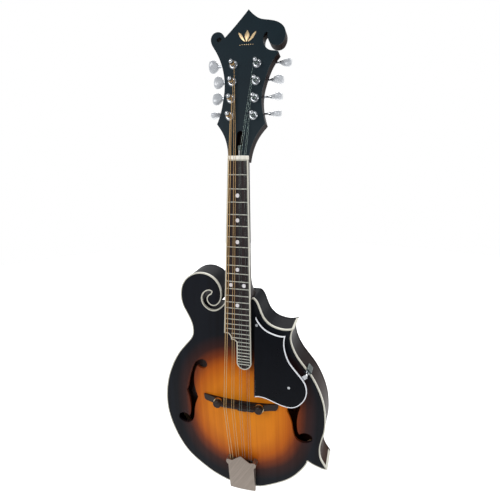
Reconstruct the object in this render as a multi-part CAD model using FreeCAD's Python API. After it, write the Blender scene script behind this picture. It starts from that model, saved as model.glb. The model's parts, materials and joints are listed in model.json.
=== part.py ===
"""F-style mandolin with a carved top, worm tuners and an adjustable bridge (millimetres).

The frame: +Z runs up the neck, +X is to the right seen from the front, the front faces -Y.
X = 0 is the centre line, Y = 0 is half way through the sides, and the origin is the middle
of the end pin's head.
"""
import FreeCAD
import Part
import os
from math import cos, radians, sin, tan, pi, sqrt

Vector = FreeCAD.Vector
X_AXIS = Vector(1, 0, 0)
Y_AXIS = Vector(0, 1, 0)
Z_AXIS = Vector(0, 0, 1)

# body
tail_height = 8.0          # tail of the body above the origin
side_depth = 43.5          # front edge to back edge
plate_edge = 3.6           # thickness of both plates at their edges
binding_width = 1.6
rib_inset = 0.3            # ribs stand this far inside the bindings
rib_thickness = 2.7
top_rise = 12.5            # arch of the top above its edge
back_rise = 11.0
plate_thickness = 4.2      # of the arched part
arch_half_width = 118.0
arch_centre = 155.0        # above the tail, where the bridge stands
arch_below = 146.0         # the arch dies out this far below and above its centre
arch_above = 150.0

# neck and strings
scale_length = 352.0
joint_fret = 15
fret_count = 29
neck_angle = 5.0
head_tilt = 13.0           # of the headstock, back from the fingerboard
joint_height = 305.0       # fret 15 above the tail
board_lift = 11.0          # fingerboard surface in front of the body's edge at fret 15
nut_width = 28.2
board_taper = 0.0466       # width gained for each millimetre from the nut
board_thickness = 5.5
board_binding = 1.5
binding_depth = 2.4         # of the fingerboard's binding, from its surface
fret_height = 0.9
fret_width = 1.3
fret_tang = 1.7
body_top = 318.0           # where the heel meets the body, above the tail
neck_depth = 13.4          # of the shaft under the fingerboard, at the nut
heel_start = 154.0         # from the nut
heel_length = 38.0
heel_rise = 33.0
head_thickness = 14.5
overlay_thickness = 1.5
face_drop = 2.5            # headstock face below the fingerboard surface at the nut

# strings: name, diameter, middle of the pair at nut, saddle and tailpiece
string_pairs = (("g", 1.00, -10.5, -18.0, -14.5),
                ("d", 0.66, -3.65, -6.0, -4.8),
                ("a", 0.38, 3.65, 6.0, 4.8),
                ("e", 0.28, 10.5, 18.0, 14.5))
nut_half_gap = 1.2
saddle_half_gap = 1.65
saddle_height = 155.0      # above the tail
saddle_lift = 26.5         # string rest in front of the body's edge
string_rest = 1.2          # strings above the fingerboard surface at the nut
hook_height = 46.0         # above the tail
hook_lift = 11.6

# tuners
post_spacing = 23.5
first_post = 59.5          # from the nut along the headstock
post_offset = 16.5         # from the centre line
post_radius = 3.0
post_rise = 13.0           # in front of the face
worm_offset = 9.25         # worm axis above each post, along the headstock
gear_teeth = 16
gear_radius = 6.0          # pitch radius
worm_radius = worm_offset - gear_radius
worm_pitch = 2 * pi * gear_radius / gear_teeth
gear_face = 3.0
gear_depth = 18.2          # front of the gears behind the headstock face
running_gap = 0.06
button_length = 14.5
button_width = 18.0
button_thickness = 9.2
pin_radius = 3.4
tail_screw_radius = 1.25
head_screw_radius = 1.15
tail_screws = ((-12.0, -8.0), (12.0, -8.0), (0.0, 10.5))
button_starts = (35.0, 35.0, 35.0, 44.5)
# rest angle of each button about its shaft, bass side from the nut up, then treble side
button_turns = {"bass": (99.0, -7.0, -2.0, 20.0), "treble": (112.0, 95.0, 86.0, 143.0)}

front = -side_depth / 2
back = side_depth / 2
os.makedirs("parts", exist_ok=True)


def save(name, *shapes):
    """Write one node: a single solid, or a group of separate ones."""
    solids = [solid for shape in shapes for solid in shape.Solids]
    shape = solids[0] if len(solids) == 1 else Part.makeCompound(solids)
    shape.exportStep("parts/" + name + ".step")


def body_point(x, y, height):
    return Vector(x, y, height + tail_height)


def smooth_edge(points):
    """A smooth curve through the points."""
    if len(points) == 2:
        return Part.makeLine(points[0], points[1])
    spline = Part.BSplineCurve()
    spline.interpolate(points)
    return spline.toShape()


def runs_wire(runs, place):
    """A closed wire: each run is a smooth curve, and straight lines join the runs."""
    placed = [[place(*point) for point in run] for run in runs]
    edges = []
    for index, run in enumerate(placed):
        if len(run) > 1:
            edges.append(smooth_edge(run))
        following = placed[(index + 1) % len(placed)][0]
        if run[-1].distanceToPoint(following) > 0.01:
            edges.append(Part.makeLine(run[-1], following))
    return Part.Wire(edges)


def mirrored(run):
    return [(-x, z) for x, z in run]


def box(low, high):
    size = high - low
    return Part.makeBox(size.x, size.y, size.z, low)


def body_box(x0, x1, y0, y1, z0, z1):
    return box(body_point(x0, y0, z0), body_point(x1, y1, z1))


def rod(start, end, radius):
    return Part.makeCylinder(radius, start.distanceToPoint(end), start, end - start)


def fused(shapes):
    first, *others = shapes
    return first.fuse(others).removeSplitter()


def inset_face(face, distance):
    """The face drawn in from its edge, its outline redrawn as plain smooth edges."""
    if not distance:
        return face
    largest = max(face.makeOffset2D(-distance).Faces, key=lambda found: found.Area)
    edges = []
    for edge in largest.OuterWire.OrderedEdges:
        points = edge.discretize(2 + int(edge.Length / 3))
        edges.append(smooth_edge(points))
    return Part.Face(Part.Wire(Part.sortEdges(edges)[0]))


# ---------------------------------------------------------------- body outline
# points are (x, height above the tail)
bass_side = [(-20, 0), (-27, 0.9), (-36.4, 4), (-48.5, 9), (-70.9, 22.6), (-91.5, 39.5), (-109.8, 66),
             (-120.7, 92.6), (-126.2, 118), (-126.3, 144), (-122, 170.2), (-112.6, 196.5),
             (-98.8, 221), (-82, 241.3), (-76, 250.5), (-74.8, 259.1), (-77, 272),
             (-83.5, 286.2), (-89.4, 299), (-91.3, 312), (-87.3, 331.3), (-75.4, 344.6),
             (-58.5, 350.1), (-40.3, 345.1), (-28.4, 329.2), (-27.6, 314), (-32.3, 304.5),
             (-39.6, 300.7), (-46.5, 303), (-50.1, 311.6), (-47.7, 316.5), (-43.6, 319.1)]
scroll_slot = [(-42, 322.6), (-46.2, 323.8), (-51.4, 321.8), (-56.1, 316.5), (-57.4, 309.1),
               (-54.7, 301.4), (-47.9, 295.7), (-40.2, 294), (-33.9, 296.1), (-27.6, 301.1),
               (-22.6, 307.7), (-19.3, body_top)]
shoulder = [(20.5, body_top), (25.1, 313.7), (28.8, 305.8), (31.7, 297.8), (35, 290.5),
            (39.6, 284.5), (45.7, 279.8), (54.3, 276.5), (62.9, 275.2), (70.5, 275.8),
            (78.9, 278.4)]
treble_side = [(78.9, 278.4), (75.2, 270), (74.3, 260.7), (75.8, 253.2), (85.9, 232.1),
               (101.8, 211.6), (115, 188.2), (123, 163.7), (125.6, 141.2), (124.2, 117.5),
               (119, 94.1), (118.8, 83.7), (120.6, 73.6), (124.5, 65.7), (130.6, 57)]
point_underside = [(130.6, 57), (124, 55.9), (116.6, 57.7), (107.6, 60.9), (100.7, 64.7)]
treble_tail = [(100.7, 62.5), (96, 53), (88.4, 42), (79, 31.2), (67.8, 22), (51.9, 12.4),
               (36.4, 4.6), (27, 1), (20, 0)]
body_runs = [bass_side, scroll_slot, shoulder, treble_side, point_underside, treble_tail]

bass_f_hole = [[(-67.8, 203.7), (-64.1, 200.4), (-58.5, 200.1), (-53.8, 203), (-51.8, 208.1),
                (-54, 212.8), (-58.4, 214.7), (-63.8, 213.6), (-70.9, 208.7), (-76.4, 199.3),
                (-79.4, 190.3), (-82, 181.5), (-84.1, 172.7), (-86.2, 164), (-89.4, 157.5)],
               [(-89.4, 157.5), (-87.9, 152.9), (-85.7, 143.6), (-84.5, 133.1), (-84.5, 124.9),
                (-85.7, 115.5), (-87.7, 110.1)],
               [(-87.7, 110.1), (-92.3, 112.9), (-97, 113.6), (-101.9, 112.5), (-105.9, 109.2),
                (-107.3, 104.7), (-105.8, 100.6), (-101.2, 97.5), (-94.7, 96.2), (-88.1, 97.9),
                (-83.3, 102.1), (-80.3, 107.7), (-78.7, 113.8), (-77.6, 122.4), (-76.2, 130.9),
                (-73.9, 138.8), (-69.3, 149.8)],
               [(-69.3, 149.8), (-71.9, 156.6), (-74.4, 166.7), (-75.4, 175.5), (-74.9, 184.8),
                (-72.7, 194.3), (-67.8, 203.7)]]

# where the plates are hollowed, treble half
hollow_half = [(0, 16), (45, 24), (72, 42), (97, 72), (108, 105), (110, 135), (104, 168), (84, 210),
               (64, 240), (60, 262), (40, 276), (0, 280)]


def body_face(inset, depth):
    face = Part.Face(runs_wire(body_runs, lambda x, z: body_point(x, depth, z)))
    return inset_face(face, inset)


def body_prism(inset, near, far):
    return body_face(inset, near).extrude(Vector(0, far - near, 0))


def arch(x, height, rise):
    """Height of an arched plate over its edge: a bell that is flat at the edge."""
    reach = arch_above if height > arch_centre else arch_below
    spread = (x / arch_half_width) ** 2 + ((height - arch_centre) / reach) ** 2
    return rise * (1 - spread) ** 2 if spread < 1 else 0.0


def arch_block(side, level, rise):
    """Everything behind an arched surface, towards the middle of the body."""
    columns = [[body_point(x, side * (level + arch(x, z, rise)), z) for z in range(-20, 371, 15)]
               for x in range(-144, 145, 12)]
    surface = Part.BSplineSurface()
    surface.interpolate(columns)
    return surface.toShape().extrude(Vector(0, -side * 60, 0))


def plate(side, rise):
    """A carved plate: arched outside, hollowed inside, flat where it is glued to the ribs."""
    edge = side * back
    blank = body_prism(binding_width, edge + side * 30, edge - side * plate_edge)
    blank = blank.common(arch_block(side, back, rise))
    runs = [mirrored(hollow_half)[::-1][:-1] + hollow_half]
    wire = runs_wire(runs, lambda x, z: body_point(x, edge + side * 30, z))
    hollow = Part.Face(wire).extrude(Vector(0, -side * 50, 0))
    hollow = hollow.common(arch_block(side, back - plate_thickness, rise))
    return blank.cut(hollow)


def binding(side):
    near = side * back
    far = near - side * plate_edge
    return body_prism(0, near, far).cut(body_prism(binding_width, near, far))


def rim_prism(inset, margin=0.0):
    reach = back - plate_edge - margin
    return body_prism(inset, -reach, reach)


def block_regions():
    """Where the inside is solid wood: tail, neck with scroll, and the two points."""
    depth = (-back, back)
    return [body_box(-32, 32, *depth, -1, 20),
            body_box(-100, 60, *depth, 284, 352),
            body_box(-100, -60, *depth, 262, 284),
            body_box(60, 90, *depth, 262, 290),
            body_box(106, 135, *depth, 50, 88)]


def tail_fixings():
    """Bores in the tail for the end pin and the tailpiece screws."""
    pin = rod(Vector(0, 0, 0), body_point(0, 0, 30), pin_radius)
    return [pin] + [rod(body_point(x, y, -5), body_point(x, y, 8), tail_screw_radius)
                    for x, y in tail_screws]


def make_body():
    holes = []
    for runs in (bass_f_hole, [mirrored(run) for run in bass_f_hole]):
        wire = runs_wire(runs, lambda x, z: body_point(x, front - 20, z))
        holes.append(Part.Face(wire).extrude(Vector(0, 40, 0)))
    save("top_plate", plate(-1, top_rise).cut(holes))
    save("back_plate", plate(1, back_rise))
    save("top_binding", binding(-1))
    save("back_binding", binding(1))

    caps = [body_box(74.6, 90, -back, back, 275.2, 290),
            body_box(127.6, 140, -back, back, 50, 70)]
    inner = rim_prism(rib_inset + rib_thickness)
    rim = rim_prism(rib_inset).cut(inner)
    fixings = tail_fixings()
    save("rim", rim.cut(caps + fixings))
    save("point_caps", rim_prism(0).common(Part.makeCompound(caps)))
    regions = block_regions()
    save("rim_blocks", *[inner.common(region).cut(caps + fixings) for region in regions])

    ring = inner.cut(rim_prism(rib_inset + rib_thickness + 4.5)).cut(regions)
    reach = back - plate_edge
    strips = [body_box(-150, 150, -reach, -reach + 7, 0, 300),
              body_box(-150, 150, reach - 7, reach, 0, 300)]
    save("linings", *[ring.common(strip) for strip in strips])
    save("tone_bars", tone_bar(-26, -34), tone_bar(30, 34))


def tone_bar(low_x, high_x):
    """A spruce brace that follows the inside of the top."""
    low, high = 52.0, 252.0
    start = body_point(low_x, 0, low)
    end = body_point(high_x, 0, high)
    side = (end - start).cross(Y_AXIS).normalize() * 3.0
    corners = [start - side, end - side, end + side, start + side, start - side]
    bar = Part.Face(Part.makePolygon(corners)).extrude(Vector(0, front, 0))
    crest = arch_block(-1, back - plate_thickness, top_rise)
    under = arch_block(-1, back - plate_thickness - 9.0, top_rise * 0.9)
    return bar.common(crest).cut(under)


# ---------------------------------------------------------------- neck frame
joint_distance = scale_length * (1 - 2 ** (-joint_fret / 12))
slope = radians(neck_angle)
head_slope = radians(neck_angle + head_tilt)
joint_point = body_point(0, front - board_lift, joint_height)
nut_point = joint_point + Vector(0, sin(slope), cos(slope)) * joint_distance
neck_place = FreeCAD.Placement(nut_point, FreeCAD.Rotation(X_AXIS, -neck_angle))
face_point = nut_point - Vector(0, -cos(head_slope), sin(head_slope)) * face_drop
head_place = FreeCAD.Placement(face_point,
                               FreeCAD.Rotation(X_AXIS, -neck_angle - head_tilt))


def on_neck(shape):
    """Neck pieces are drawn with the nut at the origin, +Z up the neck and +Y into the wood."""
    placed = shape.copy()
    placed.Placement = neck_place.multiply(placed.Placement)
    return placed


def on_head(shape):
    """Headstock pieces are drawn with the face at y = 0 and z measured from the nut."""
    placed = shape.copy()
    placed.Placement = head_place.multiply(placed.Placement)
    return placed


def fret_distance(number):
    return scale_length * (1 - 2 ** (-number / 12))


def half_width(distance):
    return (nut_width + board_taper * distance) / 2


def board_runs(depth):
    """The fingerboard with its extension on the treble side."""
    step = joint_distance + 38.0
    foot = joint_distance + 78.0
    left = [(-half_width(0), 0), (-half_width(step), -step)]
    scallop = [(-half_width(step) + 6, -step), (-11, -step - 2.4), (-9.3, -step - 6)]
    second = [(-9.3, -step - 8.6), (-4.5, -step - 9.2), (-1, -step - 12)]
    rounded = [(-0.8, -foot), (2.7, -foot - 9), (11, -foot - 12), (18.9, -foot - 7.5),
               (half_width(foot), -foot)]
    right = [(half_width(foot), -foot), (half_width(0), 0)]
    return [left, scallop, second, rounded, right]


def board_face(inset, depth):
    face = Part.Face(runs_wire(board_runs(depth), lambda x, z: Vector(x, depth, z)))
    return inset_face(face, inset)


def fret_span(number):
    """Left and right end of a fret, following the fingerboard's outline."""
    distance = fret_distance(number)
    right = half_width(distance)
    beyond = distance - joint_distance
    left = -right
    if beyond > 37:
        left = -8.8
    if beyond > 48:
        left = -0.2
    return left + 0.3, right - 0.3


def make_fingerboard():
    whole = board_face(0, 0).extrude(Vector(0, board_thickness, 0))
    strip = board_face(0, 0).extrude(Vector(0, binding_depth, 0))
    strip = strip.cut(board_face(board_binding, 0).extrude(Vector(0, binding_depth, 0)))
    slots, frets = [], []
    for number in range(1, fret_count + 1):
        z = -fret_distance(number)
        left, right = fret_span(number)
        crown = Part.makeCylinder(fret_width / 2, right - left, Vector(left, 0, z), X_AXIS)
        crown = crown.common(box(Vector(left, -fret_height, z - 2), Vector(right, 0, z + 2)))
        tang = box(Vector(left + 1.6, 0, z - 0.25), Vector(right - 1.6, fret_tang, z + 0.25))
        frets.append(crown.fuse(tang))
        slots.append(tang)
    markers = []
    for number in (3, 5, 7, 10, 12, 15):
        z = -(fret_distance(number) + fret_distance(number - 1)) / 2
        places = (-9.5, 9.5) if number == 12 else (0,)
        markers += [Part.makeCylinder(2.8, 1.5, Vector(x, 0, z), Y_AXIS) for x in places]
    save("fingerboard", on_neck(whole.cut([strip] + slots + markers)))
    save("fingerboard_binding", on_neck(strip))
    save("frets", *[on_neck(fret) for fret in frets])
    save("fret_markers", *[on_neck(marker) for marker in markers])


def nut_string_x(pair, side):
    return pair[2] + side * nut_half_gap


def make_nut():
    width = half_width(0)
    section = [Vector(-width, -string_rest - 0.5, 0), Vector(-width, -string_rest, 5),
               Vector(-width, board_thickness, 5), Vector(-width, board_thickness, 0)]
    profile = Part.Face(Part.makePolygon(section + section[:1]))
    nut = profile.extrude(Vector(2 * width, 0, 0))
    grooves = []
    for pair in string_pairs:
        diameter = pair[1]
        for side in (-1, 1):
            x = nut_string_x(pair, side)
            start = Vector(x, -string_rest, -3)
            grooves.append(rod(start, Vector(x, -string_rest + 0.3, 8), diameter / 2 + 0.05))
            grooves.append(box(Vector(x - diameter / 2 - 0.05, -3, -3),
                               Vector(x + diameter / 2 + 0.05, -string_rest, 8)))
    save("nut", on_neck(nut.cut(grooves)))


# ---------------------------------------------------------------- headstock outline
# points are (x, distance from the nut along the headstock)
upper_curl = [(-0.3, 206), (3.2, 202), (9.1, 196.5), (15.7, 192.1), (27.6, 189), (41.4, 184.7),
              (50.9, 175.8), (52.6, 165.5), (47.4, 154.9), (42.2, 153.2), (36.7, 154.3),
              (29.4, 162.4), (28.6, 171.5)]
curl_gap = [(26, 172.7), (23, 168.2), (22.5, 161.4), (24.6, 155.1), (28.6, 150), (33.2, 147.2),
            (40, 146), (44.7, 144.4)]
head_treble = [(44.7, 144.4), (39.8, 137), (34, 125.2), (29.7, 111.1), (26, 90.5), (26.2, 79.2),
               (28.1, 67), (33.6, 48.9)]
head_low = [(33.6, 48.9), (28.9, 43), (23.2, 34.5), (18.7, 24.6), (15.9, 14.6), (14.1, 0)]
head_bass = [(-33.6, 48.9), (-29, 66.1), (-27.5, 77.8), (-26.5, 91.2), (-28.8, 115.6),
             (-32.9, 129.6), (-45, 153), (-49, 159), (-51.6, 165.5), (-51.6, 171.2),
             (-48.9, 175.9), (-42.5, 178), (-36.6, 175.8), (-32.4, 169.6)]
head_edge = [(-31.6, 169), (-10.3, 193.3), (-0.3, 206)]
head_runs = [upper_curl, curl_gap, head_treble, head_low, mirrored(head_low)[::-1], head_bass,
             head_edge]


def head_prism(inset, near, far):
    face = Part.Face(runs_wire(head_runs, lambda x, z: Vector(x, near, z)))
    return inset_face(face, inset).extrude(Vector(0, far - near, 0))


def post_places():
    for side_name, side in (("bass", -1), ("treble", 1)):
        for index in range(4):
            yield side_name, side, index, first_post + index * post_spacing


def head_holes(radius, near, far):
    return [Part.makeCylinder(radius, far - near, Vector(side * post_offset, near, height), Y_AXIS)
            for name, side, index, height in post_places()]


def head_screw_places():
    """Where the tuner plates are screwed on: the head's point and the way it faces."""
    away = head_place.Rotation.multVec(Y_AXIS)
    for name, side, index, height in post_places():
        place = Vector(side * (post_offset + 6), head_thickness + 1.2, height - 6.0)
        yield head_place.multVec(place), away


def truss_pocket():
    """The rod's pocket in the headstock, open towards the nut."""
    slot = box(Vector(-4.5, -1, 5), Vector(4.5, 7.5, 34.8))
    return slot.fuse(Part.makeCylinder(4.5, 8.5, Vector(0, -1, 34.8), Y_AXIS))


def neck_section(distance):
    """A rounded neck section, flat under the fingerboard; the heel is deeper and squarer."""
    heel = max(0.0, (distance - heel_start) / heel_length)
    depth = neck_depth + 0.012 * distance + heel_rise * heel ** 2.4
    power = 2.2 + 2.0 * min(1.0, heel)
    width = half_width(distance) - 0.1
    points = []
    for level in (0, 0.3, 0.62, 0.85, 0.96):
        across = width * (1 - level ** power) ** (1 / power)
        points.append(Vector(across, board_thickness + depth * level, -distance))
    other = [Vector(-point.x, point.y, point.z) for point in points[::-1]]
    points += [Vector(0, board_thickness + depth, -distance)] + other
    spline = Part.BSplineCurve()
    spline.interpolate(points)
    return Part.Wire([spline.toShape(), Part.makeLine(points[-1], points[0])])


def make_neck():
    sections = [neck_section(distance) for distance in range(-2, 199, 10)]
    shaft = on_neck(Part.makeLoft(sections, True, False, False, 3))
    shaft = shaft.common(box(Vector(-50, -100, body_top + tail_height), Vector(50, 100, 600)))

    bottom = front - 0.25
    drop = tan(slope)

    def under_board(height):
        return front - board_lift + board_thickness / cos(slope) + (height - joint_height) * drop

    profile = [(under_board(body_top + 4), body_top + 4), (under_board(266), 266),
               (bottom - arch(0, 266, top_rise) - 0.4, 266), (bottom - 1.4, 292),
               (bottom, body_top), (bottom, body_top + 4)]
    riser = Part.makePolygon([body_point(-15, y, z) for y, z in profile + profile[:1]])
    shelf = [(under_board(266.2), 266.2), (under_board(226), 226), (under_board(226) + 2.6, 226),
             (bottom - arch(0, 266, top_rise) - 0.4, 266.2)]
    support = Part.makePolygon([body_point(2, y, z) for y, z in shelf + shelf[:1]])
    head = head_prism(0, overlay_thickness, head_thickness)
    curl_hole = Part.makeCylinder(3.5, 40, Vector(-39.8, -5, 167), Y_AXIS)
    head = head.cut(head_holes(post_radius + 1.4, -1, 20) + [curl_hole, truss_pocket()])
    core = fused([shaft, Part.Face(riser).extrude(Vector(30, 0, 0)),
                  Part.Face(support).extrude(Vector(15, 0, 0)), on_head(head)])
    rod_hole = Part.makeCylinder(2.6, 300, Vector(0, board_thickness + 3.6, 20), -Z_AXIS)
    core = core.cut(on_neck(rod_hole))
    nut_seat = box(Vector(-20, -5, 0), Vector(20, board_thickness, 5))
    board_seat = box(Vector(-25, -10, -300), Vector(25, board_thickness, 0))
    pilots = [rod(point, point - away * 8, head_screw_radius)
              for point, away in head_screw_places()]
    core = core.cut([on_neck(nut_seat), on_neck(board_seat)] + pilots)
    save("neck", core)
    save("truss_rod", on_neck(Part.makeCylinder(2.4, 200, Vector(0, board_thickness + 3.6, 12),
                                                -Z_AXIS)))

    overlay = head_prism(0, 0, overlay_thickness)
    overlay = overlay.cut(head_holes(post_radius + 2.3, -1, 3) + [curl_hole, truss_pocket()])
    overlay = on_head(overlay).cut(on_neck(box(Vector(-20, -10, -5), Vector(20, 20, 5.05))))
    save("headstock_overlay", overlay)


def make_truss_nut():
    """A brass hexagon nut on the end of the rod, in its pocket."""
    place = Vector(0, board_thickness + 3.6, 12.3)
    hexagon = [place + Vector(3.0 * cos(k * pi / 3), 3.0 * sin(k * pi / 3), 0) for k in range(7)]
    nut = Part.Face(Part.makePolygon(hexagon)).extrude(Vector(0, 0, 6))
    save("truss_rod_nut", on_neck(nut))


# ---------------------------------------------------------------- tuners
def gear_shape():
    """A worm wheel about the Y axis, teeth skewed to suit the worm, front face at y = 0."""
    addendum = 0.55
    blank = Part.makeCylinder(gear_radius + addendum, gear_face, Vector(0, 0, 0), Y_AXIS)
    lead = worm_pitch / (2 * pi * worm_radius)
    gaps = []
    for tooth in range(gear_teeth):
        inner, outer = gear_radius - 1.0, gear_radius + 1.5
        low = [Vector(-0.62, -0.5, inner), Vector(-1.15, -0.5, outer),
               Vector(1.15, -0.5, outer), Vector(0.62, -0.5, inner)]
        face = Part.Face(Part.makePolygon(low + low[:1]))
        shift = lead * (gear_face + 1.0)
        face.translate(Vector(-shift / 2, 0, 0))
        gap = face.extrude(Vector(shift, gear_face + 1.0, 0))
        gap.rotate(Vector(0, 0, 0), Y_AXIS, 360.0 * (tooth + 0.5) / gear_teeth)
        gaps.append(gap)
    return blank.cut(gaps)


def worm_thread(length):
    """One thin helical thread about the Z axis, standing on the worm's core."""
    root = worm_radius - 0.75
    crest = worm_radius + 0.5
    helix = Part.makeHelix(worm_pitch, length, root)
    section = [Vector(root - 0.3, 0, -0.42), Vector(crest, 0, -0.16), Vector(crest, 0, 0.16),
               Vector(root - 0.3, 0, 0.42)]
    profile = Part.makePolygon(section + section[:1])
    return Part.Wire(helix.Edges).makePipeShell([profile], True, True)


def tuner_shaft(start):
    """Worm, collars and shaft along +X, with the worm centred on x = 0."""
    root = worm_radius - 0.75
    turns = 3
    length = turns * worm_pitch
    thread = worm_thread(length)
    thread.translate(Vector(0, 0, -length / 2))
    core = Part.makeCylinder(root, 12.0, Vector(0, 0, -6))
    journal = Part.makeCylinder(1.5, 2.0, Vector(0, 0, -8))
    stem = Part.makeCylinder(1.5, start - post_offset - 6 + 8.0, Vector(0, 0, 6))
    collar = Part.makeCylinder(2.6, 1.6, Vector(0, 0, start - post_offset - 1.7))
    shaft = core.fuse([journal, stem, collar]).removeSplitter().fuse(thread)
    shaft.rotate(Vector(0, 0, 0), Y_AXIS, 90)
    return shaft


def button_shape(start):
    """A rounded tuner button on the end of its shaft, along +X, that flares to a flat end."""
    x = start - post_offset
    half = button_width / 2
    edge = [(x, -2.6), (x + 2.2, -5.4), (x + 7.5, -half), (x + 12.3, -half + 1.0),
            (x + button_length, -4.4)]
    far = [(x + button_length, -4.4), (x + button_length + 0.4, 0), (x + button_length, 4.4)]
    other = [(a, -b) for a, b in edge][::-1]
    deep = button_thickness / 2
    face = Part.Face(runs_wire([edge, far, other], lambda a, b: Vector(a, -deep - 1, b)))
    slab = face.extrude(Vector(0, button_thickness + 2, 0))
    sides = [(x - 0.5, 2.6), (x + button_length + 1, deep + 0.3)]
    sides += [(a, -b) for a, b in sides[::-1]]
    points = [Vector(a, b, -half - 1) for a, b in sides]
    wedge = Part.Face(Part.makePolygon(points + points[:1])).extrude(Vector(0, 0, 2 * half + 2))
    pillow = Part.makeSphere(1.0)
    stretch = FreeCAD.Matrix()
    stretch.scale(button_length * 0.72, deep * 1.3, half * 1.16)
    pillow = pillow.transformGeometry(stretch)
    pillow.translate(Vector(x + button_length * 0.56, 0, 0))
    bore = Part.makeCylinder(1.5, 9.0, Vector(x - 1, 0, 0), X_AXIS)
    return slab.common(wedge).common(pillow).cut(bore)


def post_shape():
    """A post along the head's depth: cap, waisted string part, journal and gear seat."""
    waist = post_radius - 0.45
    profile = [(0, -post_rise), (post_radius - 0.5, -post_rise), (post_radius, -post_rise + 0.6),
               (post_radius, -9.2), (waist, -8.4), (waist, -3.8), (post_radius, -3.0),
               (post_radius, gear_depth), (1.9, gear_depth), (1.9, gear_depth + gear_face + 0.4),
               (0, gear_depth + gear_face + 0.4)]
    wire = Part.makePolygon([Vector(r, y, 0) for r, y in profile + profile[:1]])
    post = Part.Face(wire).revolve(Vector(0, 0, 0), Y_AXIS, 360)
    hole = Part.makeCylinder(0.7, 12, Vector(-6, -5.6, 0), X_AXIS)
    return post.cut(hole)


def ring(inner, outer, near, far):
    return (Part.makeCylinder(outer, far - near, Vector(0, near, 0), Y_AXIS)
            .cut(Part.makeCylinder(inner, far - near, Vector(0, near, 0), Y_AXIS)))


def string_of_post(side, index):
    """Which string pair and which string of it winds on a post."""
    pair = (1 if index >= 2 else 0) if side < 0 else (2 if index >= 2 else 3)
    return string_pairs[pair], (-1 if index % 2 == 0 else 1) * (1 if side < 0 else -1)


def make_tuners():
    gear = gear_shape().cut(Part.makeCylinder(1.9, 10, Vector(0, -1, 0), Y_AXIS))
    gear.translate(Vector(0, gear_depth, 0))
    screw_depth = gear_depth + gear_face + 0.4
    screw = Part.makeCylinder(3.0, 1.4, Vector(0, screw_depth, 0), Y_AXIS)
    screw = screw.cut(box(Vector(-4, screw_depth + 0.7, -0.4), Vector(4, screw_depth + 2, 0.4)))
    worm_depth = gear_depth + gear_face / 2
    bushings = []
    for name, side, index, height in post_places():
        label = "_" + name + "_" + str(index + 1)
        place = Vector(side * post_offset, 0, height)
        diameter = string_of_post(side, index)[0][1]
        winding = ring(post_radius - 0.45, post_radius - 0.4 + diameter, -7.6, -4.6)
        wheel = gear if side > 0 else gear.mirror(Vector(0, 0, 0), X_AXIS)
        post = [piece.copy() for piece in (post_shape(), wheel, screw, winding)]
        for piece in post:
            piece.translate(place)
        save("tuner_post" + label, *[on_head(piece) for piece in post])

        axis = Vector(side * post_offset, worm_depth, height + worm_offset)
        start = button_starts[index]
        shaft = tuner_shaft(start)
        button = button_shape(start)
        button.rotate(Vector(0, 0, 0), X_AXIS, button_turns[name][index])
        pieces = []
        for piece in (shaft, button):
            if side < 0:
                piece = piece.mirror(Vector(0, 0, 0), X_AXIS)
            piece.translate(axis)
            pieces.append(on_head(piece))
        save("tuner_shaft" + label, pieces[0])
        save("tuner_button" + label, pieces[1])

        bushing = ring(post_radius + running_gap, post_radius + 2.3, 0, overlay_thickness)
        collar = ring(post_radius + running_gap, post_radius + 3.0, -1.0, 0)
        neck_part = ring(post_radius + running_gap, post_radius + 1.4, overlay_thickness, 6.0)
        ferrule = fused([bushing, collar, neck_part])
        ferrule.translate(place)
        bushings.append(on_head(ferrule))
    save("tuner_bushings", *bushings)
    save("tuner_plates", *[on_head(tuner_plate(side)) for side in (-1, 1)])


def tuner_plate(side):
    """A strip behind the headstock with two bearing lugs for each worm shaft."""
    near = head_thickness
    far = near + 1.2
    low = first_post - 11.0
    high = first_post + 3 * post_spacing + 16.0
    x0, x1 = post_offset - 8.0, post_offset + 9.2
    strip = box(Vector(x0, near, low), Vector(x1, far, high))
    worm_depth = gear_depth + gear_face / 2
    lugs = []
    for index in range(4):
        z = first_post + index * post_spacing + worm_offset
        for x in (post_offset - 8.0, post_offset + 6.4):
            lug = box(Vector(x, near, z - 2.8), Vector(x + 1.6, worm_depth, z + 2.8))
            lugs.append(lug.fuse(Part.makeCylinder(2.8, 1.6, Vector(x, worm_depth, z), X_AXIS)))
    plate_solid = fused([strip] + lugs)
    cuts = []
    for index in range(4):
        z = first_post + index * post_spacing
        cuts.append(Part.makeCylinder(post_radius + running_gap, 4,
                                      Vector(post_offset, near - 1, z), Y_AXIS))
        cuts.append(Part.makeCylinder(1.5 + running_gap, 24,
                                      Vector(post_offset - 9, worm_depth, z + worm_offset), X_AXIS))
        cuts.append(Part.makeCylinder(head_screw_radius, 4,
                                      Vector(post_offset + 6, near - 1, z - 6.0), Y_AXIS))
    plate_solid = plate_solid.cut(cuts)
    return plate_solid if side > 0 else plate_solid.mirror(Vector(0, 0, 0), X_AXIS)


# ---------------------------------------------------------------- bridge
bridge_half = 57.5
bridge_depth = 10.0
base_rise = 9.0            # of the base over the top, at its middle
stud_offset = 31.7
wheel_radius = 7.0
wheel_thickness = 2.4
wheel_gap = 1.2            # between base and wheel at rest
stud_radius = 1.6
stud_reach = 4.5           # of the studs into the saddle at rest
boss_radius = 6.0          # of the saddle around its studs
boss_height = 6.6
bridge_crown = 15.5        # of the base, in front of the body's edge


def bridge_levels():
    """Heights in front of the body's edge: crown of the base and underside of the saddle."""
    return bridge_crown, bridge_crown + wheel_gap + wheel_thickness


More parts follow.
